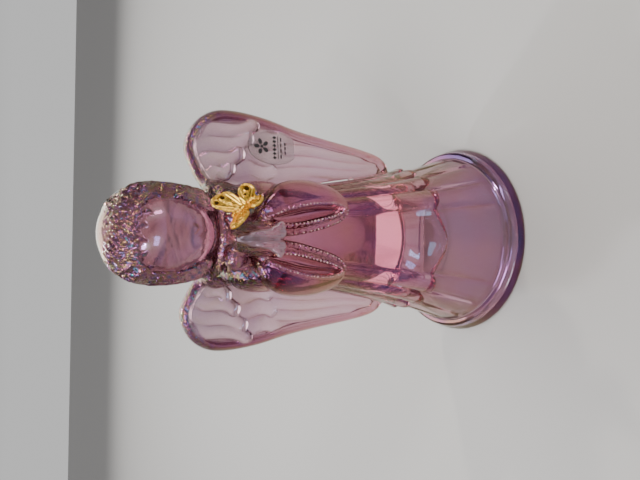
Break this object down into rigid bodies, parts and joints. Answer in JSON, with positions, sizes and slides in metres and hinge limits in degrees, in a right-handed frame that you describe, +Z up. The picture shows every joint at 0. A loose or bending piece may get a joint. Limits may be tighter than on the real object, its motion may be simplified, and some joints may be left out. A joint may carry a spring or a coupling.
{
  "type": "angel figurine",
  "caption": "Pressed-glass praying angel figurine with broad wings, bell sleeves and a flared hollow base, with a butterfly charm and a clear film label.",
  "frame": {"origin": "centre of the foot ring's underside, on the surface it stands on", "axes": "+Z up along the figure, +X towards the figure's left hand, -Y the way the figure faces"},
  "size_m": [0.114, 0.1, 0.185],
  "materials": {
    "pale_glass": "polished, iridised, pale lavender pink",
    "rose_glass": "polished, iridised, rose where the glass is thick",
    "plum_glass": "polished, iridised, plum where the glass is thickest",
    "gilt_metal": "bright gold-coloured cast metal",
    "clear_film": "clear plastic film",
    "clear_glue": "clear set adhesive"
  },
  "bodies": {
    "root": {"foot_ring": "pale_glass", "skirt": "pale_glass", "robe": "rose_glass", "front_panel": "pale_glass", "torso": "rose_glass", "left_sleeve": "rose_glass", "right_sleeve": "rose_glass", "left_hand": "pale_glass", "right_hand": "pale_glass", "collar": "plum_glass", "neck": "plum_glass", "head": "pale_glass", "hair": "plum_glass", "left_wing": "pale_glass", "right_wing": "pale_glass", "butterfly_charm": "gilt_metal", "charm_glue": "clear_glue", "label_film": "clear_film"}
  },
  "joints": []
}
